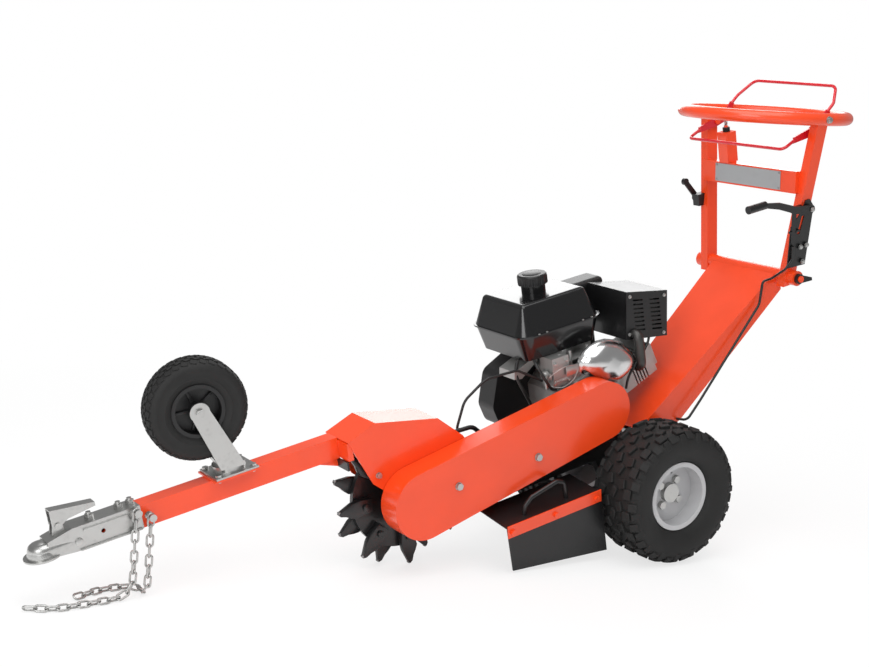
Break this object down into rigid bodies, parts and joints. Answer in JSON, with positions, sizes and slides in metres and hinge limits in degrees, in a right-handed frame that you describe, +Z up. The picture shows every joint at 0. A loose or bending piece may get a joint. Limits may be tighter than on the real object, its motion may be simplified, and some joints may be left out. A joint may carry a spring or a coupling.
{
  "type": "stump grinder",
  "caption": "Walk-behind towable stump grinder: belt-driven toothed cutter disc in a hood, petrol engine, ball coupler, jockey wheel, tilting grab-ring handle and rear tyres.",
  "frame": {"origin": "on the floor, under the centre of the parked machine's bounding box", "axes": "+X from the coupler back to the operator's handle, +Y to the machine's right-hand wheel, +Z up; the machine is parked nose-down on its tyres and its two lowest cutter teeth"},
  "size_m": [2.343, 0.58, 1.2954],
  "materials": {
    "orange_paint": "gloss",
    "black_paint": "satin",
    "red_paint": "gloss",
    "zinc": "plated",
    "tool_steel": "machined",
    "brake_black": "satin",
    "cast_alloy": "cast",
    "tyre_rubber": "matt",
    "rim_silver": "satin",
    "caster_black": "matt",
    "tank_plastic": "satin",
    "cap_plastic": "matt",
    "flap_rubber": "matt"
  },
  "bodies": {
    "chassis": {"main_frame": "black_paint", "neck_beam": "orange_paint", "cutter_housing": "orange_paint", "front_flap": "flap_rubber", "rotor_bearings": "black_paint", "frame_bolts": "zinc", "drive_belts": "flap_rubber", "belt_cover": "orange_paint", "cover_backplate": "black_paint", "tow_bar": "orange_paint", "coupler_body": "zinc", "tow_bolts": "zinc", "safety_chains": "zinc", "caster_plate": "zinc", "engine_crankcase": "cast_alloy", "engine_cylinder": "cast_alloy", "fuel_tank": "tank_plastic", "muffler_guard": "black_paint", "muffler": "black_paint", "heat_shield": "zinc", "air_cleaner": "tank_plastic", "fan_housing": "black_paint", "carburettor": "cast_alloy", "tank_bracket": "black_paint", "brace_rod": "black_paint", "frame_cables": "flap_rubber"},
    "left_wheel": {"left_tyre": "tyre_rubber", "left_rim": "rim_silver", "left_hub": "zinc"},
    "right_wheel": {"right_tyre": "tyre_rubber", "right_rim": "rim_silver", "right_hub": "zinc"},
    "crank": {"crankshaft": "tool_steel", "clutch_pulley": "zinc"},
    "cutter": {"cutter_shaft": "tool_steel", "cutter_disc": "black_paint", "cutter_teeth": "black_paint", "cutter_pulley": "zinc"},
    "caster_swivel": {"caster_fork": "zinc"},
    "caster_wheel": {"caster_tyre": "tyre_rubber", "caster_rim": "caster_black"},
    "handle": {"handle_frame": "orange_paint", "bare_plaque": "zinc", "switch_box": "orange_paint", "throttle_mount": "tank_plastic", "brake_plate": "black_paint", "brake_cable_upper": "flap_rubber"},
    "clamp": {"clamp_lever": "black_paint"},
    "bail": {"presence_bail": "red_paint"},
    "throttle": {"throttle_lever": "tank_plastic"},
    "brake": {"brake_lever": "brake_black"},
    "brake_pull": {"brake_link": "black_paint"},
    "latch": {"coupler_latch": "zinc"},
    "cap": {"fuel_cap": "cap_plastic"},
    "guard": {"guard_plate": "black_paint", "guard_strip": "orange_paint", "guard_flap": "flap_rubber"},
    "starter": {"recoil_grip": "tank_plastic"}
  },
  "joints": [
    {"name": "left_wheel_spin", "type": "hinge", "parent": "chassis", "child": "left_wheel", "pos_m": [0.51447, -0.2, 0.187], "axis": [0, 1, 0], "continuous": true},
    {"name": "right_wheel_spin", "type": "hinge", "parent": "chassis", "child": "right_wheel", "pos_m": [0.51447, 0.2, 0.187], "axis": [0, 1, 0], "continuous": true},
    {"name": "cutter_spin", "type": "hinge", "parent": "chassis", "child": "cutter", "pos_m": [-0.19956, 0, 0.18635], "axis": [0, 1, 0], "continuous": true},
    {"name": "crank_spin", "type": "hinge", "parent": "chassis", "child": "crank", "pos_m": [0.34509, 0, 0.39765], "axis": [0, 1, 0], "continuous": true},
    {"name": "caster_swing", "type": "hinge", "parent": "chassis", "child": "caster_swivel", "pos_m": [-0.71346, 0.009, 0.44476], "axis": [-0.2474, 0, 0.9689], "continuous": true},
    {"name": "caster_spin", "type": "hinge", "parent": "caster_swivel", "child": "caster_wheel", "pos_m": [-0.76514, 0.01745, 0.43156], "axis": [0.1516, 0.9877, 0.0387], "continuous": true},
    {"name": "handle_tilt", "type": "hinge", "parent": "chassis", "child": "handle", "pos_m": [0.93121, 0, 0.75783], "axis": [0, 1, 0], "range_deg": [-18, 18]},
    {"name": "clamp_turn", "type": "hinge", "parent": "handle", "child": "clamp", "pos_m": [0.93121, -0.2, 0.75783], "axis": [0, 1, 0], "range_deg": [0, 100]},
    {"name": "bail_rock", "type": "hinge", "parent": "handle", "child": "bail", "pos_m": [0.9253, 0, 1.16502], "axis": [0, 1, 0], "range_deg": [-8, 8], "stiffness_Nm_per_rad": 30},
    {"name": "throttle_turn", "type": "hinge", "parent": "handle", "child": "throttle", "pos_m": [0.89635, 0.214, 0.93883], "axis": [0, -1, 0], "range_deg": [0, 60]},
    {"name": "brake_pull_lever", "type": "hinge", "parent": "handle", "child": "brake", "pos_m": [0.93278, -0.21243, 0.95381], "axis": [-0.035, 0.9899, 0.1372], "range_deg": [0, 30], "stiffness_Nm_per_rad": 2, "springref_deg": -20.05},
    {"name": "brake_strap_lift", "type": "slide", "parent": "handle", "child": "brake_pull", "axis": [-0.2449, -0.1416, 0.9592], "range_m": [0, 0.0286]},
    {"name": "latch_lift", "type": "hinge", "parent": "chassis", "child": "latch", "pos_m": [-1.09089, 0.009, 0.18481], "axis": [0, -1, 0], "range_deg": [0, 75]},
    {"name": "cap_turn", "type": "hinge", "parent": "chassis", "child": "cap", "pos_m": [0.23685, 0.094, 0.70441], "axis": [-0.2474, 0, 0.9689], "range_deg": [0, 90]},
    {"name": "guard_slide", "type": "slide", "parent": "chassis", "child": "guard", "axis": [0.0306, -0.9923, -0.1198], "range_m": [0, 0.1]},
    {"name": "starter_pull", "type": "slide", "parent": "chassis", "child": "starter", "axis": [0, 1, 0], "range_m": [0, 0.06], "stiffness_N_per_m": 80, "springref_m": -0.05}
  ],
  "couplings": [
    {"joint": "crank_spin", "follows": "cutter_spin", "ratio": 1.3419},
    {"joint": "brake_strap_lift", "follows": "brake_pull_lever", "m_per_rad": 0.0544}
  ]
}
